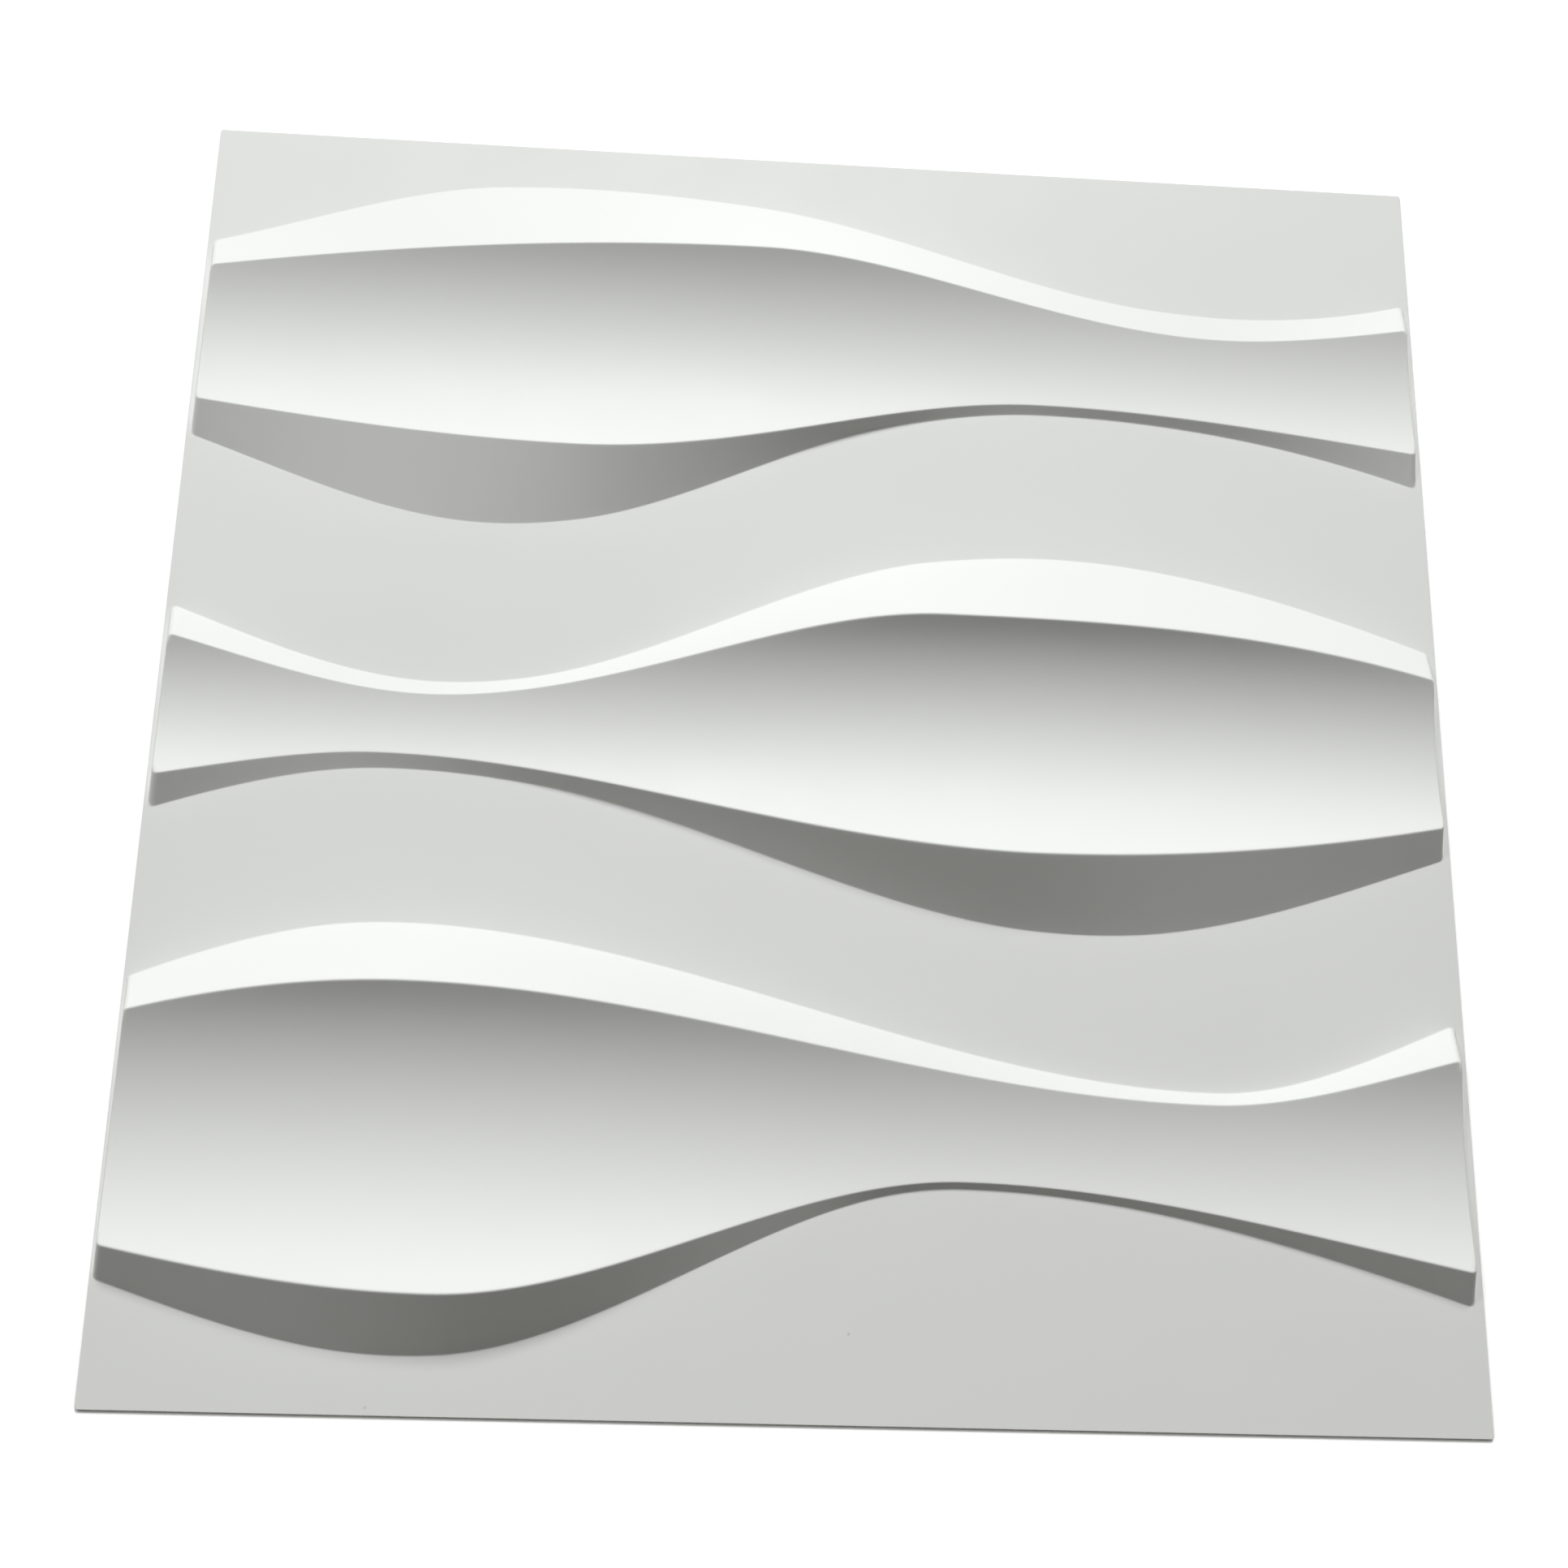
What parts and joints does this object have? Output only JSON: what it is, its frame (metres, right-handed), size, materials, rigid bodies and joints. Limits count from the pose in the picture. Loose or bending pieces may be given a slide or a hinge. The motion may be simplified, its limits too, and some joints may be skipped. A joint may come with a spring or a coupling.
{
  "type": "3d wall panel tile",
  "caption": "Square matte white wall panel, one thin moulded sheet with hollow wave ribs whose crests swing around straight scoops and run on from tile to tile.",
  "frame": {"origin": "middle of the flat back face, on the plane that lies on the wall", "axes": "+X across the panel along the ribs, +Y up the wall, +Z out of the wall through the front"},
  "size_m": [0.5, 0.5, 0.0206],
  "materials": {
    "pvc_sheet": "matte white moulded PVC"
  },
  "bodies": {
    "root": {"wall_panel": "pvc_sheet"}
  },
  "joints": []
}
